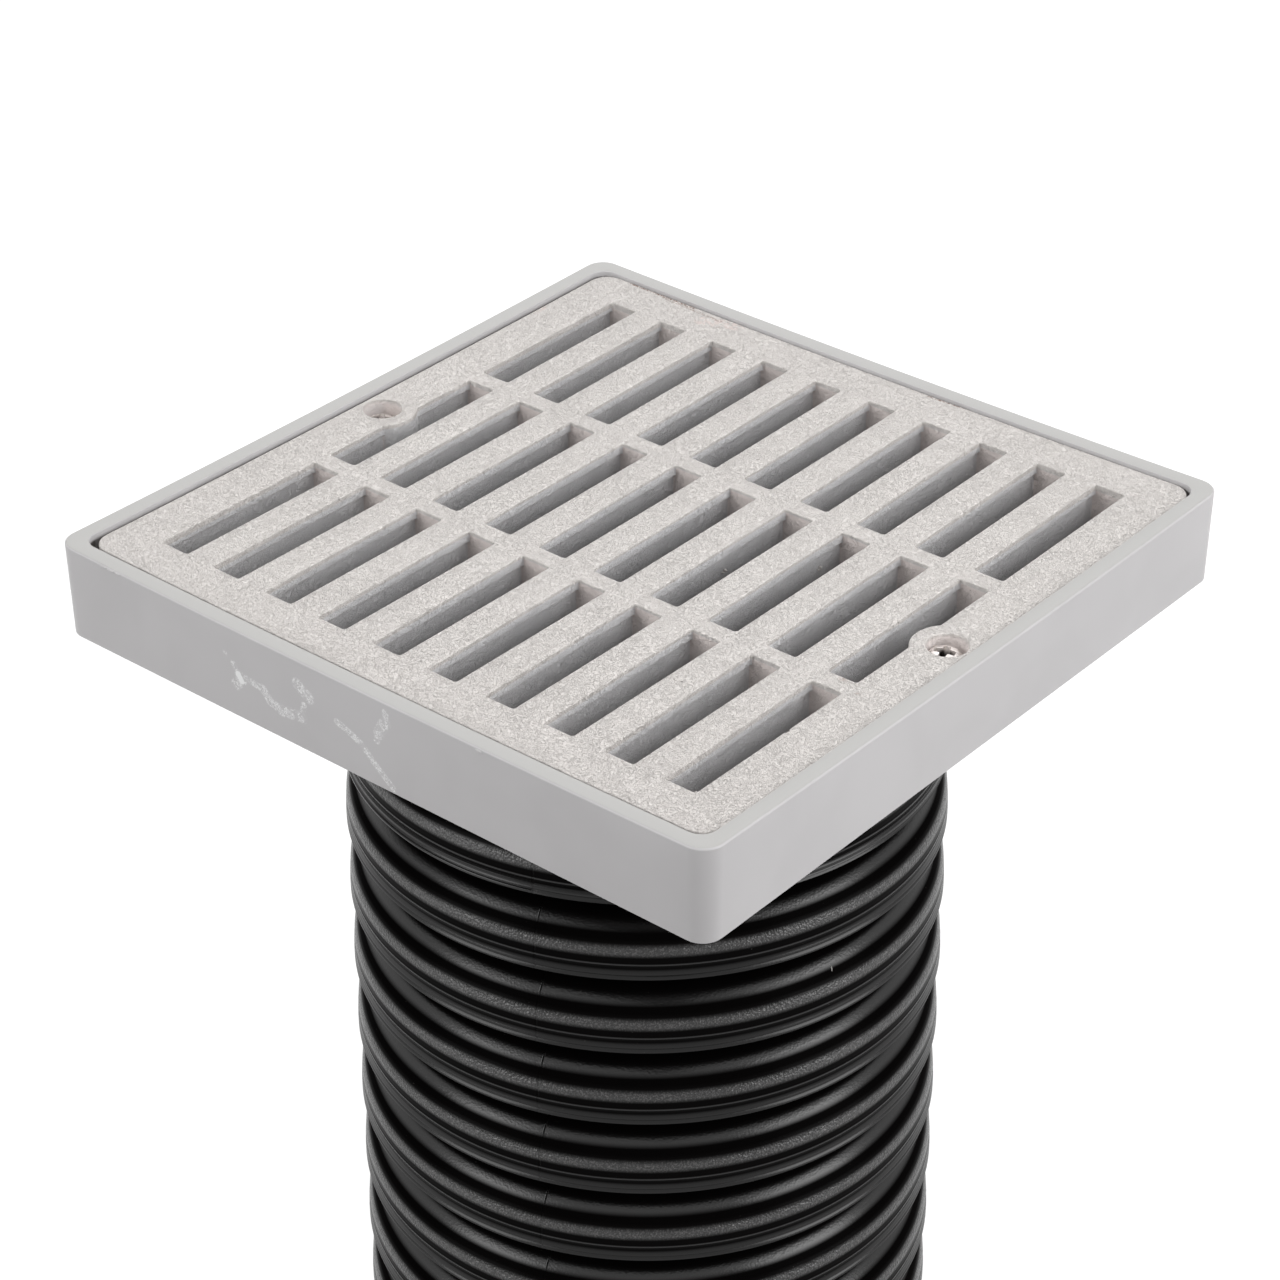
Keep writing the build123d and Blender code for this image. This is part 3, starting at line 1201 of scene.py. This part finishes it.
# Pieces
@dataclass
class Grate:
    """The slotted grate: one moulding of 30 openings, two screw guides and a dished top."""

    sizes: GrateSizes
    material: bpy.types.Material
    # Flash on the slots' walls, as (x, y, depth below the top), and crumbs at the slots' ends, as (x, y)
    flash: tuple[Point, ...] = ((25.0, 4.1, 8.0), (45.0, 21.3, 7.5))
    crumbs: tuple[Flat, ...] = ((55.7, -95.2), (70.9, -95.1), (94.9, -94.3))
    # Half sizes of a piece of flash, of the smaller one beside it, and of a crumb
    flash_reach: Point = (0.75, 0.55, 0.5)
    flash_end: Point = (0.5, 0.35, 0.3)
    crumb_reach: Point = (0.6, 0.35, 0.4)
    # Steps in a round hole, and on the blended part of a guide, which reaches this far each way from the screw
    hole_steps: int = 64
    guide_steps: int = 56
    guide_reach: float = 9.6

    def corner(self, x: int, y: int, wide: float, end: float) -> list[Flat]:
        """One rounded corner of an opening.

        Args:
            x: 1 for the +X side, -1 for the other.
            y: 1 for the +Y end, -1 for the other.
            wide: the opening's growth across.
            end: its growth along.

        Returns:
            The points, counter-clockwise.
        """
        s = self.sizes
        r = s.slot_corner + min(wide, end)
        start = {(1, 1): 0, (-1, 1): 90, (-1, -1): 180, (1, -1): 270}[x, y]
        return arc(x * (s.slot_width / 2 + wide - r), y * (s.slot_length / 2 + end - r), r, start, start + 90, 3)

    def slot(self, wide: float, end: float) -> list[Flat]:
        """Outline of a plain opening, grown by wide across and end along. Returns its points."""
        return [p for x, y in ((1, 1), (-1, 1), (-1, -1), (1, -1)) for p in self.corner(x, y, wide, end)]

    def guided_slot(self, wide: float, end: float, guide: float) -> list[Flat]:
        """Outline of the opening beside a screw, with the guide bulging into its +X side.

        Args:
            wide: growth of its plain sides.
            end: growth of its ends.
            guide: how far the guide's wall draws back.

        Returns:
            The points, counter-clockwise.
        """
        s = self.sizes
        side = s.slot_width / 2 + wide
        centre = s.screw_x - s.pitch_x * (s.columns - 1) / 2
        reach = s.guide_r - guide
        made = [p for x, y in ((-1, 1), (-1, -1), (1, -1)) for p in self.corner(x, y, wide, end)]
        for i in range(1, self.guide_steps):
            y = self.guide_reach * (2 * i / self.guide_steps - 1)
            bulge = centre - math.sqrt(max(reach ** 2 - y ** 2, 0.0)) if abs(y) < reach else centre
            mix = min(max(0.5 + 0.5 * (bulge - side) / s.guide_blend, 0.0), 1.0)
            made.append((bulge * (1 - mix) + side * mix - s.guide_blend * mix * (1 - mix) * 0.5, y))
        return made + self.corner(1, 1, wide, end)

    def levels(self) -> list[tuple[float, float, float, float]]:
        """Rings down an opening's wall, from its rounded edge to the set-back web under the lip.

        Returns:
            (side growth, end growth, guide growth, height) of each.
        """
        s = self.sizes
        made = [(o, o, o, s.top - d) for o, d in quarter_round(s.edge_round)]
        lip = s.top - s.lip_deep
        made += [(0.0, 0.0, 0.0, lip + 0.25), (0.2, 0.0, 0.0, lip)]
        made += [(s.lip_over, 0.0, 0.01, lip), (s.lip_over, 0.0, 0.02, (lip + s.bottom) / 2)]
        return made + [(s.lip_over - 0.1, 0.0, 0.02, s.bottom)]

    def opening(self) -> bpy.types.Object:
        """One plain opening's walls, about the origin.

        Returns:
            The object.
        """
        shell = Shell()
        shell.loft([(self.slot(w, e), z) for w, e, _, z in self.levels()])
        return shell.build("slot_walls")

    def tree(self) -> bpy.types.NodeTree:
        """Geometry Nodes that set the openings out in rows and dish the top.

        Returns:
            The tree.
        """
        g = Geometry("slots_in_rows", {
            "Opening": "NodeSocketObject", "Columns": "NodeSocketInt", "Rows": "NodeSocketInt",
            "Pitch X": "NodeSocketFloat", "Pitch Y": "NodeSocketFloat", "Shift": "NodeSocketVector",
            "Dish Radius": "NodeSocketFloat", "Dish Above": "NodeSocketFloat", "Material": "NodeSocketMaterial",
        })
        given = g.given
        wide, deep = (
            g.overlap(g.add(MATH, given[count], 1.0, operation="SUBTRACT"), given[pitch])
            for count, pitch in (("Columns", "Pitch X"), ("Rows", "Pitch Y")))
        grid = g.add("GeometryNodeMeshGrid", {
            "Size X": wide, "Size Y": deep, "Vertices X": given["Columns"], "Vertices Y": given["Rows"]}, out="Mesh")
        opening = g.add("GeometryNodeObjectInfo", {"Object": given["Opening"]}, out="Geometry")
        where = g.add("GeometryNodeInputPosition")
        x, y, z = g.add("ShaderNodeSeparateXYZ", where).node.outputs
        # The two openings beside the screws are left out, because they have their own shape
        reach = g.add(MATH, g.overlap(wide, 0.5), MM, operation="SUBTRACT")
        outer = g.add(MATH, g.add(MATH, x, operation="ABSOLUTE"), reach, operation="GREATER_THAN")
        middle = g.add(MATH, g.add(MATH, y, operation="ABSOLUTE"), MM, operation="LESS_THAN")
        plain = g.add(MATH, 1.0, g.overlap(outer, middle), operation="SUBTRACT")
        set_out = g.add("GeometryNodeInstanceOnPoints", {"Points": grid, "Selection": plain, "Instance": opening})
        moved = g.add("GeometryNodeTranslateInstances", {"Instances": set_out, "Translation": given["Shift"]})
        real = g.add("GeometryNodeRealizeInstances", moved)
        joined = g.add("GeometryNodeJoinGeometry", [given["Geometry"], real])
        # The rise of the dish grows with the square of the distance from the grate's middle
        off = g.add(VECTOR, where, given["Shift"], operation="SUBTRACT")
        flat = g.add(VECTOR, off, (1.0, 1.0, 0.0), operation="MULTIPLY")
        square = g.add(VECTOR, flat, flat, operation="DOT_PRODUCT", out="Value")
        rise = g.add(MATH, square, g.overlap(given["Dish Radius"], 2.0), operation="DIVIDE")
        upper = g.add(MATH, z, given["Dish Above"], operation="GREATER_THAN")
        lift = g.add("ShaderNodeCombineXYZ", {"Z": g.overlap(rise, upper)})
        return g.end(g.add("GeometryNodeSetPosition", {"Geometry": joined, "Offset": lift}))

    def placed(self, ring: Sequence[Flat], x: float = 0.0, y: float = 0.0, turn: int = 1) -> list[Flat]:
        """Moves an outline to its place on the grate, half turned where turn is -1. Returns its points."""
        sx, sy = self.sizes.shift
        return [(sx + x + turn * px, sy + y + turn * py) for px, py in ring]

    def openings(self, level: tuple[float, float, float, float], hole_r: float) -> list[list[Flat]]:
        """Outlines of everything that is cut through the grate at one level.

        Args:
            level: one ring of levels().
            hole_r: radius of the screws' holes there.

        Returns:
            Each outline's points.
        """
        s = self.sizes
        wide, end, guide, _ = level
        last = s.columns - 1
        made = [
            self.placed(self.guided_slot(wide, end, guide), turn * s.pitch_x * last / 2, 0.0, turn)
            for turn in (1, -1)]
        made += [self.placed(circle(0, 0, hole_r, self.hole_steps), turn * s.screw_x) for turn in (1, -1)]
        for i in range(s.columns):
            for j in range(s.rows):
                if j == 1 and i in (0, last):
                    continue
                x, y = (i - last / 2) * s.pitch_x, (j - (s.rows - 1) / 2) * s.pitch_y
                made.append(self.placed(self.slot(wide, end), x, y))
        return made

    def build(self) -> bpy.types.Object:
        """Builds the grate.

        Returns:
            Its object.
        """
        s = self.sizes
        shell = Shell()
        levels = self.levels()
        for turn in (1, -1):
            x = turn * s.pitch_x * (s.columns - 1) / 2
            shell.loft([(self.placed(self.guided_slot(w, e, g), x, 0.0, turn), z) for w, e, g, z in levels])
        bore = [(s.bore_r + o, s.top - d) for o, d in quarter_round(s.edge_round)]
        bore += [(s.bore_r - 0.05, s.bore_floor + 0.3), (s.bore_r - 0.35, s.bore_floor)]
        bore += [(s.clear_r, s.bore_floor), (s.clear_r, s.bottom)]
        for turn in (1, -1):
            shell.loft([(self.placed(circle(0, 0, r, self.hole_steps), turn * s.screw_x), z) for r, z in bore])
        outside = [(-o, s.top - d) for o, d in quarter_round(s.outer_round)]
        outside += [(0.0, s.bottom + s.foot_round), (-s.foot_round, s.bottom)]
        side = [(self.placed(rounded_square(s.side / 2 + o, s.corner_r + o)), z) for o, z in outside]
        shell.loft(side)
        shell.skin(side[0][0], self.openings(levels[0], s.bore_r + s.edge_round), s.top, True)
        shell.skin(side[-1][0], self.openings(levels[-1], s.clear_r), s.bottom, False)
        for x, y, drop in self.flash:
            shell.lump((x, y, s.top - drop), self.flash_reach)
            shell.lump((x, y - 0.9, s.top - drop - 0.3), self.flash_end)
        for x, y in self.crumbs:
            shell.lump((x, y, s.top - 0.7), self.crumb_reach)
        opening = self.opening()
        body = flatten(shell.build("grate_moulding"), self.tree(), {
            "Opening": opening, "Columns": s.columns, "Rows": s.rows, "Pitch X": s.pitch_x * MM,
            "Pitch Y": s.pitch_y * MM, "Shift": (s.shift[0] * MM, s.shift[1] * MM, 0.0),
            "Dish Radius": s.dish_r * MM, "Dish Above": s.dish_above * MM, "Material": self.material,
        }, sharp=24.0)
        bpy.data.objects.remove(opening)
        return carry(body, "grate")


@dataclass
class GrateFrame:
    """The square frame, one moulding from the dished rim down to the spigot."""

    sizes: FrameSizes
    material: bpy.types.Material
    # Burrs on the rim's -Y edge, as (x, height over the grate's top, half length), and their other half sizes
    burrs: tuple[Point, ...] = ((-96.2, 2.1, 2.4), (-93.0, 1.9, 1.9), (-90.6, 1.85, 1.2), (42.0, 1.05, 1.5))
    burr_reach: Flat = (0.32, 0.38)

    def outline(self) -> list[Ring]:
        """Rings of the frame's surface, from the spigot's foot up its outside and down its inside.

        Returns:
            (outline, height) of each.
        """
        s = self.sizes
        half, below, skirt = s.side / 2, s.side_below / 2, s.side / 2 - s.skirt_wall
        pocket, throat = s.pocket_side / 2, s.throat_side / 2
        spigot_in = s.spigot_r - s.spigot_wall
        groove_top = s.ledge - s.ledge_thick
        rings: list[Ring] = [
            (round_ring(spigot_in), s.spigot_low), (round_ring(s.spigot_r - 0.5), s.spigot_low),
            (round_ring(s.spigot_r), s.spigot_low + 0.8), (round_ring(s.spigot_r), s.seat),
            (rounded_square(throat + s.throat_wall, s.throat_r), s.seat),
            (rounded_square(throat + s.throat_wall, s.throat_r), groove_top),
            (rounded_square(skirt, 3.2), groove_top), (rounded_square(skirt, 3.2), s.seat + 0.2),
            (rounded_square(skirt + 0.2, 3.4), s.seat),
            (rounded_square(below - 0.25, s.corner_r - 0.5), s.seat),
            (rounded_square(below, s.corner_r - 0.4), s.seat + 0.25),
        ]
        for o, d in reversed(bevelled(s.edge_bevel, s.bevel_round)):
            rings.append((rounded_square(half - o, s.corner_r - o), s.rim_base - d))
        for o, d in quarter_round(s.inner_round):
            rings.append((rounded_square(pocket + o, s.pocket_r + o), s.rim_base - d))
        return rings + [
            (rounded_square(pocket, s.pocket_r), s.ledge), (rounded_square(throat, s.throat_r), s.ledge),
            (rounded_square(throat, s.throat_r), s.seat + s.deck_thick),
            (round_ring(spigot_in), s.seat + s.deck_thick),
        ]

    def gussets(self, shell: Shell, top: float) -> None:
        """Adds the gussets in the groove, on all four sides.

        Args:
            shell: the frame's shell.
            top: the groove's top.
        """
        s = self.sizes
        throat = s.throat_side / 2
        near, far = throat + s.throat_wall - s.sunk, s.side / 2 - s.skirt_wall + s.sunk
        for j in range(s.gussets):
            if j == (s.gussets - 1) // 2:
                continue
            a = -throat + j * s.throat_side / (s.gussets - 1) - s.gusset_thick / 2
            b = a + s.gusset_thick
            for low, high in ((near, far), (-far, -near)):
                shell.block((a, low, s.seat), (b, high, top + 0.2))
                shell.block((low, a, s.seat), (high, b, top + 0.2))

    def bosses(self, shell: Shell, top: float) -> None:
        """Adds the two screw bosses with their pilot holes.

        Args:
            shell: the frame's shell.
            top: the groove's top.
        """
        s = self.sizes
        h = s.boss_side / 2
        for x in (-GRATE.screw_x, GRATE.screw_x):
            square = [(x + u * h, v * h) for u, v in ((1, -1), (1, 1), (-1, 1), (-1, -1))]
            pilot = circle(x, 0.0, s.pilot_r, 32)
            shell.skin(square, [pilot], s.seat, False)
            for ring, high in ((square, top + 0.2), (pilot, top)):
                shell.faces.append(tuple(shell.loft([(ring, s.seat), (ring, high)])[-1]))

    def build(self) -> bpy.types.Object:
        """Builds the frame.

        Returns:
            Its object.
        """
        s = self.sizes
        shell = Shell()
        shell.loft(self.outline(), closed=True)
        # The rim is dished like the grate
        dish = 2 * GRATE.dish_r
        shell.points = [
            (x, y, z + (x * x + y * y) / dish if z > s.rim_base - 1.2 else z) for x, y, z in shell.points]
        groove_top = s.ledge - s.ledge_thick
        self.gussets(shell, groove_top)
        self.bosses(shell, groove_top)
        for x, over, wide in self.burrs:
            shell.lump((x, -s.side / 2 - 0.05, TOP + over), (wide, *self.burr_reach))
        body = shell.build("frame_moulding", sharp=24.0)
        body.data.materials.append(self.material)
        return carry(body, "frame")


@dataclass
class Pipe:
    """The corrugated pipe: one corrugation repeated up its length, with a plain bore."""

    sizes: PipeSizes
    material: bpy.types.Material

    def corrugation(self, low: float, high: float) -> Shell:
        """One corrugation's surface, cut short where the pipe ends.

        Args:
            low: height from the crest's middle at which it is cut below.
            high: the same above.

        Returns:
            The shell.
        """
        s = self.sizes
        kept = [(z, r) for z, r in s.outline if low <= z <= high]
        if kept[0][0] < high:
            kept.insert(0, (high, s.valley_r))
        if kept[-1][0] > low:
            kept.append((low, s.valley_r))
        shell = Shell()
        shell.loft([(circle(0, 0, r, s.around), z) for z, r in kept])
        return shell

    def tree(self) -> bpy.types.NodeTree:
        """Geometry Nodes that repeat a corrugation up the pipe.

        Returns:
            The tree.
        """
        g = Geometry("corrugations", {
            "Corrugation": "NodeSocketObject", "Count": "NodeSocketInt", "Start": "NodeSocketVector",
            "Pitch": "NodeSocketVector", "Material": "NodeSocketMaterial",
        })
        given = g.given
        line = g.add("GeometryNodeMeshLine", {
            "Count": given["Count"], "Start Location": given["Start"], "Offset": given["Pitch"]}, mode="OFFSET")
        one = g.add("GeometryNodeObjectInfo", {"Object": given["Corrugation"]}, out="Geometry")
        stack = g.add("GeometryNodeInstanceOnPoints", {"Points": line, "Instance": one})
        real = g.add("GeometryNodeRealizeInstances", stack)
        joined = g.add("GeometryNodeJoinGeometry", [given["Geometry"], real])
        return g.end(g.add("GeometryNodeMergeByDistance", {"Geometry": joined, "Distance": 0.005 * MM}))

    def build(self) -> bpy.types.Object:
        """Builds the pipe.

        Returns:
            Its object.
        """
        s = self.sizes
        half = s.pitch / 2
        last = s.first_crest + (s.count - 1) * s.pitch
        ends = Shell()
        for at, low, high in ((s.first_crest, -s.first_crest, half), (last, -half, s.length - last)):
            piece = self.corrugation(low, high)
            base = len(ends.points)
            ends.points += [(x, y, z + at) for x, y, z in piece.points]
            ends.faces += [tuple(base + i for i in f) for f in piece.faces]
        bore = circle(0, 0, s.bore_r, s.around)
        wall = circle(0, 0, s.valley_r, s.around)
        ends.loft([(wall, 0.0), (bore, 0.0), (bore, s.length), (wall, s.length)])
        one = self.corrugation(-half, half).build("corrugation")
        body = flatten(ends.build("pipe_wall"), self.tree(), {
            "Corrugation": one, "Count": s.count - 2, "Start": (0.0, 0.0, (s.first_crest + s.pitch) * MM),
            "Pitch": (0.0, 0.0, s.pitch * MM), "Material": self.material,
        }, sharp=40.0)
        bpy.data.objects.remove(one)
        return carry(body, "corrugated_pipe")


@dataclass
class Screw:
    """A round-headed screw with a cross recess, turned by some degrees about its axis."""

    name: str
    node: str
    x: float
    head_top: float
    turn: float
    sizes: ScrewSizes
    material: bpy.types.Material

    def plus(self, span: float, width: float) -> list[Flat]:
        """Outline of the cross recess at one depth.

        Args:
            span: its size from tip to tip.
            width: the width of its arms.

        Returns:
            The points, counter-clockwise.
        """
        a, b = span / 2, width / 2
        inner = b + self.sizes.recess_blend
        made: list[Flat] = []
        for k in range(4):
            turn = math.radians(90 * k + self.turn)
            cos, sin = math.cos(turn), math.sin(turn)
            for px, py in ((a, -b), (a, b), (inner, inner)):
                made.append((self.x + px * cos - py * sin, px * sin + py * cos))
        return made

    def build(self) -> bpy.types.Object:
        """Builds the screw.

        Returns:
            Its object.
        """
        s = self.sizes
        seat = self.head_top - s.head_high
        shell = Shell()
        # The poles are rings of a hundredth of a millimetre, which merge into points
        rings = shell.loft([
            (circle(self.x, 0, max(r, 0.01), s.around), seat + z) for r, z in (*s.shank, *s.head)])
        shell.faces += [tuple(rings[0]), tuple(reversed(rings[-1]))]
        head = shell.build(self.name)
        cut = Shell()
        made = cut.loft([(self.plus(span, width), self.head_top + z) for span, width, z in s.recess])
        cut.faces += [tuple(made[0]), tuple(reversed(made[-1]))]
        tool = cut.build("recess_tool")
        boolean = head.modifiers.new("recess", "BOOLEAN")
        boolean.operation = "DIFFERENCE"
        boolean.solver = "EXACT"
        boolean.object = tool
        mesh = evaluated(head)
        bpy.data.objects.remove(head)
        bpy.data.objects.remove(tool)
        body = settle(self.name, mesh, sharp=30.0)
        body.data.materials.clear()
        body.data.materials.append(self.material)
        return carry(body, self.node)


# Camera, light and ground
@dataclass(frozen=True)
class View:
    """The photograph's camera, solved from the slots, the frame's edges and the pipe."""

    place: Point = (0.531648, -0.634569, 0.763012)
    right: Point = (0.766266, 0.642517, -0.002941)
    up: Point = (-0.340162, 0.409553, 0.846496)
    back: Point = (0.545093, -0.647641, 0.532386)
    lens: float = 96.525
    sensor: float = 36.0
    clip: Flat = (0.05, 20.0)

    def build(self) -> None:
        """Sets the scene's camera."""
        data = bpy.data.cameras.new("photo_camera")
        data.sensor_width = self.sensor
        data.lens = self.lens
        data.clip_start, data.clip_end = self.clip
        camera = bpy.data.objects.new("photo_camera", data)
        axes = Matrix((self.right, self.up, self.back)).transposed()
        camera.matrix_world = Matrix.Translation(self.place) @ axes.to_4x4()
        bpy.context.scene.collection.objects.link(camera)
        bpy.context.scene.camera = camera


@dataclass(frozen=True)
class Softbox:
    """One area light, aimed at a point."""

    name: str
    place: Point
    aim: Point
    width: float
    height: float
    power: float

    def build(self) -> None:
        """Adds the light."""
        data = bpy.data.lights.new(self.name, "AREA")
        data.shape = "RECTANGLE"
        data.size = self.width
        data.size_y = self.height
        data.energy = self.power
        light = bpy.data.objects.new(self.name, data)
        light.location = self.place
        light.rotation_euler = (Vector(self.aim) - Vector(self.place)).to_track_quat("-Z", "Y").to_euler()
        bpy.context.scene.collection.objects.link(light)


@dataclass(frozen=True)
class Studio:
    """White surroundings for the camera, soft light on the object and a ground that takes a faint shadow."""

    aim: Point = (0.0, 0.0, 0.18)
    # Strength of the fill from the world near the horizon and overhead, and the parts of the sky between them
    fill: Flat = (0.087, 0.7)
    fill_from: Flat = (0.3, 0.85)
    ground_half: float = 3000.0
    ground_z: float = -0.3
    glow: float = 0.9
    shown_grey: float = 0.22
    lit_grey: float = 0.16

    def shown(self, nodes: Nodes) -> Socket:
        """Is one for the camera's rays, and for glossy and transmission rays, so that metal shows the white too.

        Args:
            nodes: the tree it is used in.

        Returns:
            The switch.
        """
        rays = nodes.add("ShaderNodeLightPath").node.outputs
        made = rays["Is Camera Ray"]
        for ray in ("Is Glossy Ray", "Is Transmission Ray"):
            made = nodes.add(MATH, made, rays[ray], operation="MAXIMUM")
        return made

    def world(self) -> None:
        """Sets the world: white where it is shown, else a fill that is strongest overhead."""
        world = bpy.data.worlds.new("studio")
        bpy.context.scene.world = world
        world.use_nodes = True
        n = Nodes(world.node_tree)
        up = n.add("ShaderNodeSeparateXYZ", n.add("ShaderNodeTexCoord", out="Generated"), out="Z")
        strength = n.add(RANGE, up, *self.fill_from, *self.fill, **SMOOTH)
        seen = n.add("ShaderNodeBackground", (1, 1, 1, 1), 1.0)
        fill = n.add("ShaderNodeBackground", (1, 1, 1, 1), strength)
        n.add("ShaderNodeOutputWorld", n.add("ShaderNodeMixShader", self.shown(n), fill, seen))

    def lamps(self) -> None:
        """Adds the four softboxes."""
        for box in (
            Softbox("overhead_softbox", (0.1, 0.1, 1.9), self.aim, 1.6, 1.6, 6.6),
            Softbox("back_softbox", (-0.95, 1.15, 1.25), self.aim, 1.2, 0.9, 5.2),
            Softbox("right_softbox", (1.45, 0.35, 0.72), self.aim, 1.0, 1.3, 19.5),
            Softbox("left_softbox", (-0.55, -1.45, 0.72), self.aim, 0.9, 1.3, 14.0),
        ):
            box.build()

    def ground(self) -> None:
        """Lays the ground: white where it is shown, and else dull, so that it lights the object little."""
        half = self.ground_half
        shell = Shell()
        shell.faces = [tuple(shell.ring([(-half, -half), (half, -half), (half, half), (-half, half)], self.ground_z))]
        ground = shell.build("ground")
        material = bpy.data.materials.new("white_ground")
        material.use_nodes = True
        n = Nodes(material.node_tree)
        pale, dull = (
            n.add("ShaderNodeBsdfDiffuse", (grey, grey, grey, 1)) for grey in (self.shown_grey, self.lit_grey))
        white = n.add("ShaderNodeAddShader", n.add("ShaderNodeEmission", (1, 1, 1, 1), self.glow), pale)
        n.add("ShaderNodeOutputMaterial", n.add("ShaderNodeMixShader", self.shown(n), dull, white))
        ground.data.materials.append(material)

    def build(self) -> None:
        """Sets up the world, the lamps and the ground."""
        self.world()
        self.lamps()
        self.ground()


def main() -> None:
    """Builds every piece, the light and the camera."""
    random.seed(7)
    View().build()
    Studio().build()
    Grate(GRATE, GrainedPlastic().make()).build()
    GrateFrame(FRAME, SmoothPlastic().make()).build()
    Pipe(PIPE, Polyethylene().make()).build()
    steel = StainlessSteel().make()
    Screw("screw_left_steel", "screw_left", -GRATE.screw_x, LEFT_HEAD, 35.0, SCREW, steel).build()
    Screw("screw_right_steel", "screw_right", GRATE.screw_x, RIGHT_HEAD, 16.0, SCREW, steel).build()
    bpy.context.scene.view_settings.view_transform = "Standard"


if __name__ == "__main__":
    main()
